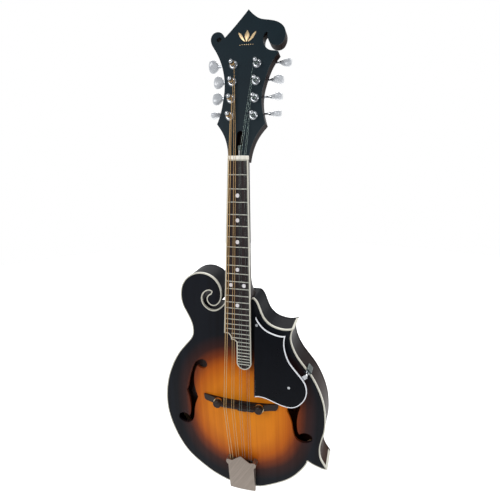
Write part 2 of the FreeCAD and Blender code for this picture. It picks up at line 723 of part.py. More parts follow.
def make_bridge():
    crown, under = bridge_levels()
    foot = arch_block(-1, back + 0.15, top_rise)
    arch_top = [(-bridge_half, 9.2), (-46, 12.4), (-38, crown), (-25, crown), (-14, 16.6), (0, 17),
                (14, 16.6), (25, crown), (38, crown), (46, 12.4), (bridge_half, 9.2)]
    mid = saddle_height
    low, high = mid - bridge_depth / 2, mid + bridge_depth / 2
    outline = [body_point(x, front - rise, low) for x, rise in arch_top]
    outline += [body_point(bridge_half, front, low), body_point(-bridge_half, front, low)]
    blank = Part.Face(Part.makePolygon(outline + outline[:1]))
    base = blank.extrude(Vector(0, 0, bridge_depth)).cut(foot)
    plan = body_box(-bridge_half, bridge_half, front - 30, front, low, high)
    lower = [edge for edge in plan.Edges if edge.BoundBox.YLength > 1
             and edge.BoundBox.ZMax < tail_height + mid]
    base = base.common(plan.makeFillet(5.0, lower))
    studs = [rod(body_point(x, front - crown + 4.4, mid), body_point(x, front - under - stud_reach, mid),
                 stud_radius) for x in (-stud_offset, stud_offset)]
    save("bridge_base", base.cut(studs))
    save("bridge_studs", *studs)
    for name, x in (("bass", -stud_offset), ("treble", stud_offset)):
        save("thumbwheel_" + name, thumbwheel(x, crown + wheel_gap))
    save("bridge_saddle", saddle(under))


def thumbwheel(x, level):
    """A knurled disc that turns on its stud and carries the saddle."""
    centre = body_point(x, front - level - wheel_thickness, saddle_height)
    disc = Part.makeCylinder(wheel_radius, wheel_thickness, centre, Y_AXIS)
    notches = []
    for step in range(24):
        angle = 2 * pi * step / 24
        place = centre + Vector(cos(angle), 0, sin(angle)) * (wheel_radius + 0.25)
        notches.append(Part.makeCylinder(0.6, wheel_thickness, place, Y_AXIS))
    bore = Part.makeCylinder(stud_radius + running_gap, wheel_thickness, centre, Y_AXIS)
    return disc.cut(notches + [bore])


def string_line(pair, side):
    """Rest points of one string over the nut, the saddle and the hook."""
    name, diameter, nut_x, saddle_x, hook_x = pair
    nut_rest = neck_place.multVec(Vector(nut_x + side * nut_half_gap, -string_rest, 0))
    saddle_rest = body_point(saddle_x + side * saddle_half_gap, front - saddle_lift, saddle_height)
    hook_rest = body_point(hook_x + side * 2.0, front - hook_lift, hook_height)
    return nut_rest, saddle_rest, hook_rest


def boss(x, under):
    """The saddle's rounded end over a stud, bevelled in front."""
    mid = saddle_height
    shaft = rod(body_point(x, front - under, mid), body_point(x, front - under - boss_height, mid),
                boss_radius)
    bevel = Part.makeCone(boss_radius + 2.4, boss_radius - 1.6, 4.0,
                          body_point(x, front - under - boss_height + 4.0, mid), Y_AXIS * -1)
    low = body_box(x - 10, x + 10, front - under - boss_height + 4.0, front - under, mid - 10, mid + 10)
    return shaft.common(bevel.fuse(low))


def saddle(under):
    """A stepped saddle: string lands between two bosses with blind stud bores."""
    mid = saddle_height
    half = 34.0
    top = saddle_lift - 0.2
    profile = [(-half, under), (-half, under + 4.6), (-27, under + 4.8), (-24, top - 0.9),
               (-20, top), (20, top), (24, top - 0.9), (27, under + 4.8), (half, under + 4.6),
               (half, under), (26, under), (20, under + 1.2), (-20, under + 1.2), (-26, under)]
    points = [body_point(x, front - rise, mid - 3.2) for x, rise in profile]
    body = Part.Face(Part.makePolygon(points + points[:1])).extrude(Vector(0, 0, 6.4))
    slopes = []
    for side in (-1, 1):
        corner = [(mid + side * 0.9, top + 1), (mid + side * 5, top + 1), (mid + side * 5, under + 3),
                  (mid + side * 3.2, under + 3)]
        points = [body_point(-half - 1, front - rise, z) for z, rise in corner]
        slopes.append(Part.Face(Part.makePolygon(points + points[:1]))
                      .extrude(Vector(2 * half + 2, 0, 0)))
    steps = [body_box(low, high, front - top + 2.2, front - under - 1.2, mid - depth, mid)
             for low, high, depth in ((0.5, 13.0, 4.6), (13.0, 24.0, 3.8))]
    ends = [boss(x, under) for x in (-stud_offset, stud_offset)]
    bores = [rod(body_point(x, front - under + 1, mid),
                 body_point(x, front - under - stud_reach - 0.9, mid), stud_radius + 0.3)
             for x in (-stud_offset, stud_offset)]
    grooves = []
    for pair in string_pairs:
        for side in (-1, 1):
            nut_rest, rest, hook_rest = string_line(pair, side)
            radius = pair[1] / 2 + 0.06
            grooves.append(rod(rest, rest + (nut_rest - rest).normalize() * 6, radius))
            grooves.append(rod(rest, rest + (hook_rest - rest).normalize() * 6, radius))
            grooves.append(Part.makeSphere(radius, rest))
    return fused([body.cut(slopes)] + steps + ends).cut(bores + grooves)


# ---------------------------------------------------------------- strings
def make_strings():
    for pair in string_pairs:
        name, diameter = pair[:2]
        solids = []
        for side_name, side, index, height in post_places():
            found, string_side = string_of_post(side, index)
            if found != pair:
                continue
            nut_rest, saddle_rest, hook_rest = string_line(pair, string_side)
            x = nut_string_x(pair, string_side)
            nut_head = neck_place.multVec(Vector(x, -string_rest + 0.35, 5.2))
            local = head_place.inverse().multVec(nut_head)
            radius = post_radius - 0.4 + diameter / 2
            post_x = side * post_offset
            across, along = post_x - local.x, height - local.z
            length = sqrt(across ** 2 + along ** 2)
            reach = sqrt(length ** 2 - radius ** 2)
            turn = side * radius / length
            direction = Vector(across * reach / length - along * turn, 0,
                               along * reach / length + across * turn) * (1 / length)
            end = local + direction * (reach - 3.4)
            end.y = -6.1 * (reach - 3.4) / reach + local.y * 3.4 / reach
            end = head_place.multVec(end)
            path = [hook_rest, saddle_rest, nut_rest, nut_head, end]
            pieces = [rod(a, b, diameter / 2) for a, b in zip(path, path[1:])]
            pieces += [Part.makeSphere(diameter / 2, point) for point in path[1:-1]]
            solids.append(fused(pieces))
        save("strings_" + name, *solids)


# ---------------------------------------------------------------- tailpiece and end pin
cover_half = 20.5
cover_thickness = 0.9
base_bend = 12.0            # height where the base starts to slant away from the top
base_foot = 1.2
base_slant = 0.0963
base_top = 52.0


def base_rise_at(height):
    """Front of the slanted tailpiece base, in front of the body's edge."""
    return base_foot + base_slant * (height - base_bend)


def make_tailpiece():
    thick = 1.2
    top = base_rise_at(base_top)
    slant = [(-0.02, -0.02), (1.0, -0.02), (base_foot, base_bend), (top, base_top),
             (top + thick, base_top), (base_foot + thick, base_bend), (1.0 + thick, -thick),
             (-35.7, -thick), (-35.7, -0.02)]
    profile = [body_point(-18, front - rise, z) for rise, z in slant]
    base = Part.Face(Part.makePolygon(profile + profile[:1])).extrude(Vector(36, 0, 0))
    root = front - base_rise_at(hook_height - 3.4) - thick / 2
    crest = front - hook_lift
    hooks = []
    for pair in string_pairs:
        for side in (-1, 1):
            x = string_line(pair, side)[2].x
            hooks.append(body_box(x - 0.9, x + 0.9, crest - 0.6, root,
                                  hook_height - 3.4, hook_height - 1.6))
            hooks.append(body_box(x - 0.9, x + 0.9, crest - 0.6, crest + 0.6,
                                  hook_height - 5.8, hook_height - 3.4))
    save("tailpiece_base", base.fuse(hooks).removeSplitter().cut(tail_fixings()))
    save("tailpiece_cover", tailpiece_cover())


def cover_face(inset, depth):
    """The cover's front outline: a low gable with two round ears over straight sides."""
    ear = [(-20.5, 44.5), (-23.4, 47.5), (-23.8, 51.5), (-21.4, 54.2), (-18, 54.2), (-14, 54)]
    runs = [[(-20.5, -3), (-20.5, 44.5)], ear, [(-14, 54), (0, 64.5)], [(0, 64.5), (14, 54)],
            mirrored(ear)[::-1], [(20.5, 44.5), (20.5, -3)]]
    face = Part.Face(runs_wire(runs, lambda x, z: body_point(x, depth, z)))
    return inset_face(face, inset)


def tailpiece_cover():
    """A thin pressed cover, crowned, that slides off over the tail."""
    deep = front - 3.2
    shell_front = [(-20, 7.0), (20, 12.0), (45, 15.0), (62, 15.8), (75, 16.0)]

    def under_crown(drop):
        rows = [[body_point(x, front - rise + drop + 1.6 * (x / 24) ** 2, z)
                 for x in (-40, -24, -12, 0, 12, 24, 40)] for z, rise in shell_front]
        surface = Part.BSplineSurface()
        surface.interpolate(rows)
        return surface.toShape().extrude(Vector(0, 40, 0))

    outer = cover_face(0, front - 30).extrude(Vector(0, 30 + (deep - front), 0))
    outer = outer.common(under_crown(0))
    inner = cover_face(cover_thickness, front - 30).extrude(Vector(0, 32, 0))
    inner = inner.common(under_crown(cover_thickness))
    mouth = body_box(-18.6, 18.6, front - 30, front, 50, 70).common(under_crown(cover_thickness))
    floor = body_box(-cover_half + cover_thickness, cover_half - cover_thickness,
                     front - 30, front, -4, 0).common(under_crown(cover_thickness))
    return outer.cut([inner, mouth, floor])


def make_end_pin():
    head_radius, head_length = 6.5, 3.0
    stem = rod(Vector(0, 0, head_length / 2), body_point(0, 0, 19), pin_radius)
    head = rod(Vector(0, 0, -head_length / 2), Vector(0, 0, head_length / 2), head_radius)
    save("end_pin", fused([head, stem]))


# ---------------------------------------------------------------- pickguard and screws
guard_drop = 3.0
guard_thickness = 2.2
guard_edge = [(24.2, -4), (26.2, -12), (30.2, -18.8), (36, -25.2), (43.3, -30.2), (50.4, -32.8),
              (57.4, -34.6), (63.8, -35), (68.3, -34.3)]
guard_side = [(68.3, -34.3), (67, -42.4), (67.7, -52.6), (70.4, -62.5), (74.9, -72.2),
              (81.7, -80.8), (89.6, -89.7), (95.8, -97.3), (99.5, -105.6), (100.4, -112.9),
              (98.6, -122.2), (94.1, -129.7), (88.7, -135.1), (80.2, -139.3), (71.7, -139.5),
              (61.5, -137.4), (51.3, -134.1), (42.4, -131.3), (33.5, -130.1), (24.6, -131.5)]
guard_screws = ((27.6, -22.5), (75.0, -109.1))


def guard_face(inset, depth):
    """The guard's outline; z is measured from the body joint."""
    shift = -joint_distance
    runs = [guard_edge, guard_side]
    face = Part.Face(runs_wire(runs, lambda x, z: Vector(x, depth, z + shift)))
    return inset_face(face, inset)


def make_pickguard():
    near = guard_drop
    whole = guard_face(0, near).extrude(Vector(0, guard_thickness, 0))
    inside = guard_face(1.3, near).extrude(Vector(0, guard_thickness, 0))
    keep = box(Vector(20, -5, -400), Vector(25.8, 20, 10))
    black = inside.fuse(whole.common(keep)).removeSplitter()
    holes = [Part.makeCylinder(1.1, 20, Vector(x, near - 5, z - joint_distance), Y_AXIS)
             for x, z in guard_screws]
    save("pickguard", on_neck(black.cut(holes)))
    save("pickguard_binding", on_neck(whole.cut(black)))


def bar(start, end, width, thickness):
    """A flat bar between two points, its thickness along the body's depth."""
    run = end - start
    piece = Part.makeBox(run.Length, thickness, width, Vector(0, 0, -width / 2))
    piece.Placement = FreeCAD.Placement(start, FreeCAD.Rotation(X_AXIS, run))
    return piece


def make_bracket():
    """An arm under the guard that ends in a jaw on the top's edge, and a clamp on the side."""
    turn = -38.0
    place = FreeCAD.Placement(body_point(99.2, 0, 214.9), FreeCAD.Rotation(Y_AXIS, turn))
    jaw_thickness = 1.5
    near = front - 0.6 - jaw_thickness
    jaw = box(Vector(-4, near, -3.4), Vector(0.6, near + jaw_thickness, 3.4))
    clamp = box(Vector(0.6, near, -4.5), Vector(3.4, near + jaw_thickness, 4.5))
    clamp = fused([clamp, box(Vector(0.15, near + jaw_thickness, -4.5), Vector(3.4, front + 14, 4.5))])
    outer = [edge for edge in clamp.Edges if edge.BoundBox.YLength > 5 and edge.BoundBox.XMin > 3]
    clamp = clamp.makeFillet(1.4, outer)
    for piece in (jaw, clamp):
        piece.Placement = place
    guard_back = guard_drop + guard_thickness + 0.3
    screw_x, screw_z = guard_screws[1]
    start = neck_place.multVec(Vector(screw_x - 3, guard_back, screw_z - 2 - joint_distance))
    knee = place.multVec(Vector(-1.5, 0, 0))
    knee.y = start.y + 2.2
    arm = [bar(start, knee, 6.0, 1.3), rod(knee, Vector(knee.x, near + 0.7, knee.z), 1.9), jaw]
    save("pickguard_bracket", fused(arm))
    save("bracket_clamp", clamp)


def wood_screw(point, direction, radius, length):
    """A countersunk screw with a cross cut, head at the point."""
    axis = direction.normalize()
    head = Part.makeCylinder(radius * 1.9, 0.9, point - axis * 0.9, axis)
    shank = Part.makeCylinder(radius, length, point, axis)
    return head.fuse(shank).removeSplitter()


def make_screws():
    screws = []
    for x, z in guard_screws:
        point = neck_place.multVec(Vector(x, guard_drop, z - joint_distance))
        into = neck_place.Rotation.multVec(Y_AXIS)
        screws.append(wood_screw(point, into, 1.05, guard_thickness))
    for x, y in tail_screws:
        screws.append(wood_screw(body_point(x, y, -1.2), Z_AXIS, tail_screw_radius, 9.0))
    for point, away in head_screw_places():
        screws.append(wood_screw(point, away * -1, head_screw_radius, 7.0))
    save("screws", *screws)


make_body()
make_fingerboard()
make_nut()
make_neck()
make_truss_nut()
make_tuners()
make_bridge()
make_strings()
make_tailpiece()
make_end_pin()
make_pickguard()
make_bracket()
make_screws()
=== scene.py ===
import json
import math

import bmesh
import bpy
from mathutils import Matrix, Vector


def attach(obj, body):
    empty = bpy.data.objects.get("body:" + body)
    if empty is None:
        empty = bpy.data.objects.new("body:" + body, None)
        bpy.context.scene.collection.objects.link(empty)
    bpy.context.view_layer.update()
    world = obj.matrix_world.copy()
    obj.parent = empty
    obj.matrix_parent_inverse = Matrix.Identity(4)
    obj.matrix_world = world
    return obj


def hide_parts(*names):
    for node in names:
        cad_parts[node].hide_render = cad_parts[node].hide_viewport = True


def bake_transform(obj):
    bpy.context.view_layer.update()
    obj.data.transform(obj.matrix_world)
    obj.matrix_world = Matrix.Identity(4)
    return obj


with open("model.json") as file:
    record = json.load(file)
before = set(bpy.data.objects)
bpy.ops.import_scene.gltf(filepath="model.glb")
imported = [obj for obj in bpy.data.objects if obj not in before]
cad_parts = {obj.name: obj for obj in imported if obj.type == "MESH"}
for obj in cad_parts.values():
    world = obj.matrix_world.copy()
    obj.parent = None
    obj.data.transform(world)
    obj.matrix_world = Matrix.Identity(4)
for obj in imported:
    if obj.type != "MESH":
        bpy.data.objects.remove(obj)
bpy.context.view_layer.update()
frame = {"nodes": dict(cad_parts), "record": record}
nodes = frame["nodes"]


# one socket of a node tree; sums are written as sums and each adds its Math node
class Flow:
    def __init__(self, tree, socket=None):
        self.tree = tree
        self.socket = socket

    def feed(self, target, value):
        if isinstance(value, Flow):
            self.tree.links.new(value.socket, target)
        else:
            target.default_value = value

    def node(self, kind, settings=None, sockets=None, out=0):
        made = self.tree.nodes.new("ShaderNode" + kind)
        for name, value in (settings or {}).items():
            if name == "stops":
                self.setStops(made.color_ramp, value)
            else:
                setattr(made, name, value)
        for name, value in (sockets or {}).items():
            self.feed(made.inputs[name], value)
        return Flow(self.tree, made.outputs[out])

    def setStops(self, ramp, stops):
        while len(ramp.elements) < len(stops):
            ramp.elements.new(0.5)
        for element, (place, colour) in zip(ramp.elements, stops):
            element.position = place
            element.color = (*colour, 1.0)

    def math(self, operation, *values):
        return self.node("Math", {"operation": operation}, dict(enumerate(values)))

    def __add__(self, other):
        return self.math("ADD", self, other)

    def __sub__(self, other):
        return self.math("SUBTRACT", self, other)

    def __mul__(self, other):
        return self.math("MULTIPLY", self, other)

    def __truediv__(self, other):
        return self.math("DIVIDE", self, other)

    def __pow__(self, other):
        return self.math("POWER", self, other)

    def __radd__(self, other):
        return self.math("ADD", other, self)

    def __rsub__(self, other):
        return self.math("SUBTRACT", other, self)

    def clamped(self):
        return self.node("Clamp", {}, {"Value": self})

    def between(self, low, high):
        return self.node("MapRange", {"interpolation_type": "SMOOTHSTEP"},
                         {"Value": self, "From Min": low, "From Max": high})

    def place(self):
        return self.node("TexCoord", {}, {}, "Object")

    def xyz(self, vector):
        made = self.tree.nodes.new("ShaderNodeSeparateXYZ")
        self.feed(made.inputs[0], vector)
        return [Flow(self.tree, made.outputs[axis]) for axis in range(3)]

    def vector(self, x, y, z):
        return self.node("CombineXYZ", {}, {0: x, 1: y, 2: z})

    def noise(self, vector, scale, detail=4.0, rough=0.5):
        return self.node("TexNoise", {}, {"Vector": vector, "Scale": scale, "Detail": detail,
                                          "Roughness": rough}, "Fac")

    def mix(self, factor, first, second, blend="MIX"):
        made = self.tree.nodes.new("ShaderNodeMix")
        made.data_type = "RGBA"
        made.blend_type = blend
        self.feed(made.inputs["Factor"], factor)
        self.feed(made.inputs[6], first if isinstance(first, Flow) else (*first, 1.0))
        self.feed(made.inputs[7], second if isinstance(second, Flow) else (*second, 1.0))
        return Flow(self.tree, made.outputs[2])

    def ramp(self, factor, stops):
        return self.node("ValToRGB", {"stops": stops}, {"Fac": factor}, "Color")

    def bump(self, height, strength, distance):
        return self.node("Bump", {}, {"Height": height, "Strength": strength,
                                      "Distance": distance})


def makeMaterial(name, build, **constants):
    material = bpy.data.materials.new(name)
    material.use_nodes = True
    shader = material.node_tree.nodes["Principled BSDF"]
    for socket, value in constants.items():
        shader.inputs[socket.replace("_", " ")].default_value = value
    flow = Flow(material.node_tree)
    for socket, value in build(flow).items():
        flow.feed(shader.inputs[socket.replace("_", " ")], value)
    return material


# a sunburst lacquer over spruce, dark at the edge
burst = {"centre": (0.003, 0.146), "reach": (0.096, 0.107), "grainPerMetre": 620.0,
         "stops": [(0.0, (0.82, 0.285, 0.012)), (0.42, (0.74, 0.225, 0.008)),
                   (0.60, (0.50, 0.115, 0.005)), (0.70, (0.20, 0.040, 0.008)),
                   (0.80, (0.040, 0.014, 0.012)), (0.93, (0.008, 0.010, 0.015))]}


def burstDistance(flow, centre, reach, power=2.3):
    x, y, z = flow.xyz(flow.place())
    across = flow.math("ABSOLUTE", (x - centre[0]) / reach[0]) ** power
    along = flow.math("ABSOLUTE", (z - centre[1]) / reach[1]) ** power
    return (across + along) ** (1 / power)


def sunburst(flow):
    x, y, z = flow.xyz(flow.place())
    wander = flow.noise(flow.place(), 9.0, 3.0)
    spread = burstDistance(flow, burst["centre"], burst["reach"]) + (wander - 0.5) * 0.10
    colour = flow.ramp(spread * 0.80, burst["stops"])
    bend = flow.noise(flow.vector(x * 3.0, 0.0, z * 2.0), 1.0, 2.0) * 0.012
    rings = flow.noise(flow.vector((x + bend) * burst["grainPerMetre"], 0.0, z * 5.0), 1.0, 3.0, 0.65)
    wide = flow.noise(flow.vector((x + bend) * 95.0, 0.0, z * 1.5), 1.0, 2.0)
    grain = (rings - 0.5) * 0.5 + (wide - 0.5) * 1.0
    colour = flow.mix((grain * 0.9 + 0.26).clamped(), colour, (0.42, 0.20, 0.06), "MULTIPLY")
    fine = flow.noise(flow.place(), 900.0, 2.0)
    return {"Base_Color": colour, "Roughness": 0.36 + wander * 0.10 + fine * 0.03,
            "Normal": flow.bump(rings * 0.6 + fine * 0.4, 0.08, 0.0002)}


# dark lacquered maple rim, with painted light on its lower treble side
def darkLacquerWithPaintedLight(flow):
    x, y, z = flow.xyz(flow.place())
    flame = flow.noise(flow.vector(x * 30.0, y * 8.0, z * 260.0), 1.0, 3.0)
    # painted light: the rim is painted lighter and browner low down on the treble side, and its flame figure
    # shows only there
    low = (0.30 - z).clamped() * 3.2
    toTreble = (x * 9.0).clamped()
    paintedLight = low.clamped() * toTreble
    colour = flow.mix(paintedLight.clamped(), (0.006, 0.007, 0.010), (0.050, 0.018, 0.008))
    colour = flow.mix((flame * paintedLight * 0.8).clamped(), colour, (0.02, 0.008, 0.004))
    fine = flow.noise(flow.place(), 700.0, 2.0)
    return {"Base_Color": colour, "Roughness": 0.30 + fine * 0.05,
            "Normal": flow.bump(fine, 0.04, 0.0002)}


def backBurst(flow):
    x, y, z = flow.xyz(flow.place())
    spread = burstDistance(flow, burst["centre"], (0.12, 0.13)) * 0.88
    colour = flow.ramp(spread, [(0.0, (0.30, 0.085, 0.02)), (0.5, (0.19, 0.045, 0.013)),
                                (0.78, (0.05, 0.012, 0.006)), (1.0, (0.007, 0.006, 0.008))])
    bend = flow.noise(flow.place(), 14.0, 3.0)
    flame = flow.noise(flow.vector(x * 14.0, 0.0, z * 150.0 + bend * 3.0), 1.0, 2.0)
    colour = flow.mix((flame * 1.5 - 0.35).clamped() * 0.75, colour, (0.03, 0.008, 0.004))
    fine = flow.noise(flow.vector(x * 500.0, 0.0, z * 60.0), 1.0, 3.0)
    return {"Base_Color": colour, "Roughness": 0.26 + fine * 0.08,
            "Normal": flow.bump(fine, 0.05, 0.0002)}


def neckWood(flow):
    x, y, z = flow.xyz(flow.place())
    fibre = flow.noise(flow.vector(x * 420.0, y * 420.0, z * 14.0), 1.0, 4.0)
    broad = flow.noise(flow.vector(x * 25.0, y * 25.0, z * 4.0), 1.0, 3.0)
    colour = flow.mix(fibre, (0.006, 0.003, 0.003), (0.019, 0.007, 0.005))
    colour = flow.mix((broad * 0.8).clamped(), colour, (0.006, 0.004, 0.005))
    return {"Base_Color": colour, "Roughness": 0.30 + fibre * 0.14,
            "Normal": flow.bump(fibre, 0.06, 0.0002)}


def headVeneerPaintedSheen(flow):
    mist = flow.noise(flow.place(), 26.0, 4.0)
    fine = flow.noise(flow.place(), 1500.0, 2.0)
    # painted sheen: the black is tinted blue-teal to stand in for the grey sheen on the satin face
    colour = flow.mix(mist, (0.004, 0.011, 0.016), (0.008, 0.019, 0.026))
    return {"Base_Color": colour, "Roughness": 0.40 + mist * 0.12 + fine * 0.05,
            "Normal": flow.bump(fine, 0.08, 0.00015)}


def rosewood(flow):
    x, y, z = flow.xyz(flow.place())
    pores = flow.noise(flow.vector(x * 700.0, y * 700.0, z * 22.0), 1.0, 5.0, 0.7)
    streak = flow.noise(flow.vector(x * 110.0, y * 110.0, z * 5.0), 1.0, 4.0)
    colour = flow.mix(streak, (0.018, 0.011, 0.012), (0.070, 0.042, 0.040))
    colour = flow.mix((pores * 2.2 - 0.75).clamped(), (0.008, 0.005, 0.006), colour)
    return {"Base_Color": colour, "Roughness": 0.42 + pores * 0.22,
            "Normal": flow.bump(pores, 0.22, 0.0003)}


def acrossRosewood(flow):
    x, y, z = flow.xyz(flow.place())
    pores = flow.noise(flow.vector(x * 26.0, y * 800.0, z * 800.0), 1.0, 5.0, 0.7)
    streak = flow.noise(flow.vector(x * 7.0, y * 160.0, z * 160.0), 1.0, 4.0)
    colour = flow.mix(streak, (0.012, 0.006, 0.004), (0.048, 0.021, 0.013))
    colour = flow.mix((pores * 2.2 - 0.75).clamped(), (0.006, 0.003, 0.002), colour)
    return {"Base_Color": colour, "Roughness": 0.38 + pores * 0.2,
            "Normal": flow.bump(pores, 0.2, 0.0003)}


def bareWood(flow):
    x, y, z = flow.xyz(flow.place())
    rings = flow.noise(flow.vector(x * 260.0, y * 260.0, z * 9.0), 1.0, 4.0)
    return {"Base_Color": flow.mix(rings, (0.52, 0.33, 0.17), (0.72, 0.52, 0.31)),
            "Roughness": 0.6 + rings * 0.2, "Normal": flow.bump(rings, 0.2, 0.0003)}


def creamBinding(flow):
    blush = flow.noise(flow.place(), 40.0, 3.0)
    fine = flow.noise(flow.place(), 1200.0, 2.0)
    return {"Base_Color": flow.mix(blush, (0.50, 0.48, 0.40), (0.64, 0.62, 0.52)),
            "Roughness": 0.30 + fine * 0.10, "Normal": flow.bump(fine, 0.05, 0.0001)}


def bone(flow):
    cloud = flow.noise(flow.place(), 90.0, 4.0)
    pores = flow.noise(flow.place(), 1600.0, 2.0)
    return {"Base_Color": flow.mix(cloud, (0.70, 0.66, 0.56), (0.84, 0.81, 0.72)),
            "Roughness": 0.32 + pores * 0.12, "Normal": flow.bump(pores, 0.06, 0.0001)}


def motherOfPearl(flow):
    swirl = flow.noise(flow.place(), 320.0, 3.0)
    fold = flow.node("TexVoronoi", {"feature": "SMOOTH_F1"},
                     {"Vector": flow.place(), "Scale": 520.0}, "Distance")
    colour = flow.ramp((swirl * 0.7 + fold * 0.6).clamped(),
                       [(0.2, (0.55, 0.62, 0.62)), (0.45, (0.80, 0.80, 0.74)),
                        (0.6, (0.72, 0.66, 0.72)), (0.85, (0.86, 0.88, 0.82))])
    return {"Base_Color": colour, "Roughness": 0.14 + swirl * 0.12}


def pearloid(flow):
    swirl = flow.noise(flow.place(), 130.0, 5.0, 0.6)
    fold = flow.node("TexVoronoi", {"feature": "SMOOTH_F1"},
                     {"Vector": flow.place(), "Scale": 230.0}, "Distance")
    colour = flow.mix((swirl * 0.8 + fold * 0.4).clamped(), (0.38, 0.40, 0.43), (0.66, 0.68, 0.70))
    return {"Base_Color": colour, "Roughness": 0.16 + swirl * 0.14}


def guardBlack(flow):
    haze = flow.noise(flow.place(), 60.0, 4.0)
    return {"Base_Color": flow.mix(haze, (0.001, 0.0015, 0.003), (0.003, 0.004, 0.007)),
            "Roughness": 0.03 + haze * 0.04}


def guardEdge(flow):
    haze = flow.noise(flow.place(), 80.0, 3.0)
    return {"Base_Color": flow.mix(haze, (0.72, 0.74, 0.78), (0.86, 0.87, 0.90)),
            "Roughness": 0.18 + haze * 0.1}


def platedMetal(dark, light, rough):
    def build(flow):
        haze = flow.noise(flow.place(), 140.0, 4.0)
        scuff = flow.noise(flow.place(), 1800.0, 3.0)
        return {"Base_Color": flow.mix(haze, dark, light),
                "Roughness": rough + haze * 0.06 + scuff * 0.04,
                "Normal": flow.bump(scuff, 0.02, 0.0001)}
    return build


def brushedNickel(flow):
    x, y, z = flow.xyz(flow.place())
    diagonal = x * 0.52 + z * 0.85
    acrossIt = z * 0.52 - x * 0.85
    fineLines = flow.noise(flow.vector(acrossIt * 2600.0, y * 200.0, diagonal * 60.0), 1.0, 3.0, 0.6)
    bands = flow.noise(flow.vector(acrossIt * 520.0, 0.0, diagonal * 14.0), 1.0, 2.0)
    tone = (fineLines * 0.6 + bands * 0.6).clamped()
    return {"Base_Color": flow.mix(tone, (0.165, 0.132, 0.108), (0.37, 0.315, 0.27)),
            "Roughness": 0.34 + fineLines * 0.2, "Normal": flow.bump(fineLines, 0.25, 0.0002)}


def woundString(flow):
    x, y, z = flow.xyz(flow.place())
    turns = flow.math("SINE", (z + x * 0.2) * 14000.0)
    tarnish = flow.noise(flow.place(), 60.0, 3.0)
    return {"Base_Color": flow.mix(tarnish, (0.46, 0.28, 0.11), (0.68, 0.46, 0.22)),
            "Roughness": 0.30 + tarnish * 0.1, "Normal": flow.bump(turns, 0.35, 0.0001)}


def plainString(flow):
    tarnish = flow.noise(flow.place(), 50.0, 3.0)
    return {"Base_Color": flow.mix(tarnish, (0.16, 0.22, 0.20), (0.30, 0.36, 0.33)),
            "Roughness": 0.22 + tarnish * 0.1}


def palePaper(flow):
    haze = flow.noise(flow.place(), 2.0, 2.0)
    return {"Base_Color": flow.mix(haze, (0.90, 0.90, 0.90), (0.93, 0.93, 0.93))}


materials = {
    "spruce_top": makeMaterial("sunburstSpruce", sunburst, Specular_IOR_Level=0.10),
    "maple_body": makeMaterial("darkMapleWithPaintedLight", darkLacquerWithPaintedLight, Specular_IOR_Level=0.02),
    "back": makeMaterial("backMaple", backBurst, Specular_IOR_Level=0.3),
    "maple_neck": makeMaterial("neckMahogany", neckWood, Specular_IOR_Level=0.03),
    "head_veneer": makeMaterial("satinHeadBlackPaintedSheen", headVeneerPaintedSheen, Specular_IOR_Level=0.10),
    "rosewood": makeMaterial("boardRosewood", rosewood, Specular_IOR_Level=0.2),
    "bridgewood": makeMaterial("bridgeRosewood", acrossRosewood, Specular_IOR_Level=0.3),
    "inner_wood": makeMaterial("bareSpruce", bareWood),
    "cream_binding": makeMaterial("creamBinding", creamBinding, Coat_Weight=0.3, Coat_Roughness=0.15),
    "bone": makeMaterial("polishedBone", bone),
    "pearl": makeMaterial("motherOfPearl", motherOfPearl, Coat_Weight=0.5),
    "button_pearl": makeMaterial("pearloidButton", pearloid, Coat_Weight=0.6, Coat_Roughness=0.06),
    "guard_black": makeMaterial("glossBlackGuard", guardBlack, Specular_IOR_Level=0.10),
    "guard_edge": makeMaterial("whiteGuardEdge", guardEdge),
    "nickel": makeMaterial("polishedNickel", platedMetal((0.42, 0.44, 0.46), (0.60, 0.62, 0.64), 0.10),
                           Metallic=1.0),
    "brushed": makeMaterial("brushedNickel", brushedNickel, Metallic=0.85),
    "fret_wire": makeMaterial("fretNickel", platedMetal((0.38, 0.38, 0.33), (0.52, 0.52, 0.46), 0.3),
                              Metallic=1.0),
    "rod_steel": makeMaterial("rodSteel", platedMetal((0.35, 0.35, 0.36), (0.5, 0.5, 0.5), 0.3),
                              Metallic=1.0),
    "dark_metal": makeMaterial("blackenedSteel", platedMetal((0.035, 0.05, 0.048), (0.10, 0.12, 0.115),
                                                             0.28), Metallic=0.8),
    "brass_hardware": makeMaterial("platedBrass", platedMetal((0.55, 0.42, 0.24), (0.74, 0.60, 0.38), 0.2),
                                   Metallic=1.0),
    "gold": makeMaterial("goldInlay", platedMetal((0.50, 0.36, 0.19), (0.66, 0.49, 0.28), 0.32),
                         Metallic=0.6),
    "bronze_string": makeMaterial("woundBronze", woundString, Metallic=0.6),
    "steel_string": makeMaterial("plainSteel", plainString, Metallic=1.0),
}
print("materials made:", len(materials))

slotOf = {part["node"]: part["material_slot"] for part in frame["record"]["subparts"]}
special = {"back_plate": "back", "back_binding": "maple_body", "tailpiece_cover": "brushed",
           "bridge_base": "bridgewood", "bridge_saddle": "bridgewood"}
frameSharp = 32.0  # degrees between faces that stay a hard edge


def smoothByAngle(mesh, degrees):
    mesh.shade_smooth()
    mesh.set_sharp_from_angle(angle=math.radians(degrees))


for name, node in nodes.items():
    node.data.materials.clear()
    node.data.materials.append(materials[special.get(name, slotOf[name])])
    smoothByAngle(node.data, frameSharp)
print("frame parts finished:", len(nodes))

# points are in millimetres: x across, y into the wood, z from the nut towards the headstock's top
neckSlope = {"x": 0.0, "y": -14.97, "z": 516.22, "degrees": 5.0}
headSlope = {"x": 0.0, "y": -12.59, "z": 515.45, "degrees": 18.0}


def onSlope(slope, x, y, z):
    turn = math.radians(slope["degrees"])
    c, s = math.cos(turn), math.sin(turn)
    return Vector((x, slope["y"] + y * c + z * s, slope["z"] - y * s + z * c)) / 1000.0


def onNeck(x, y, z):
    return onSlope(neckSlope, x, y, z)


def onHead(x, y, z):
    return onSlope(headSlope, x, y, z)


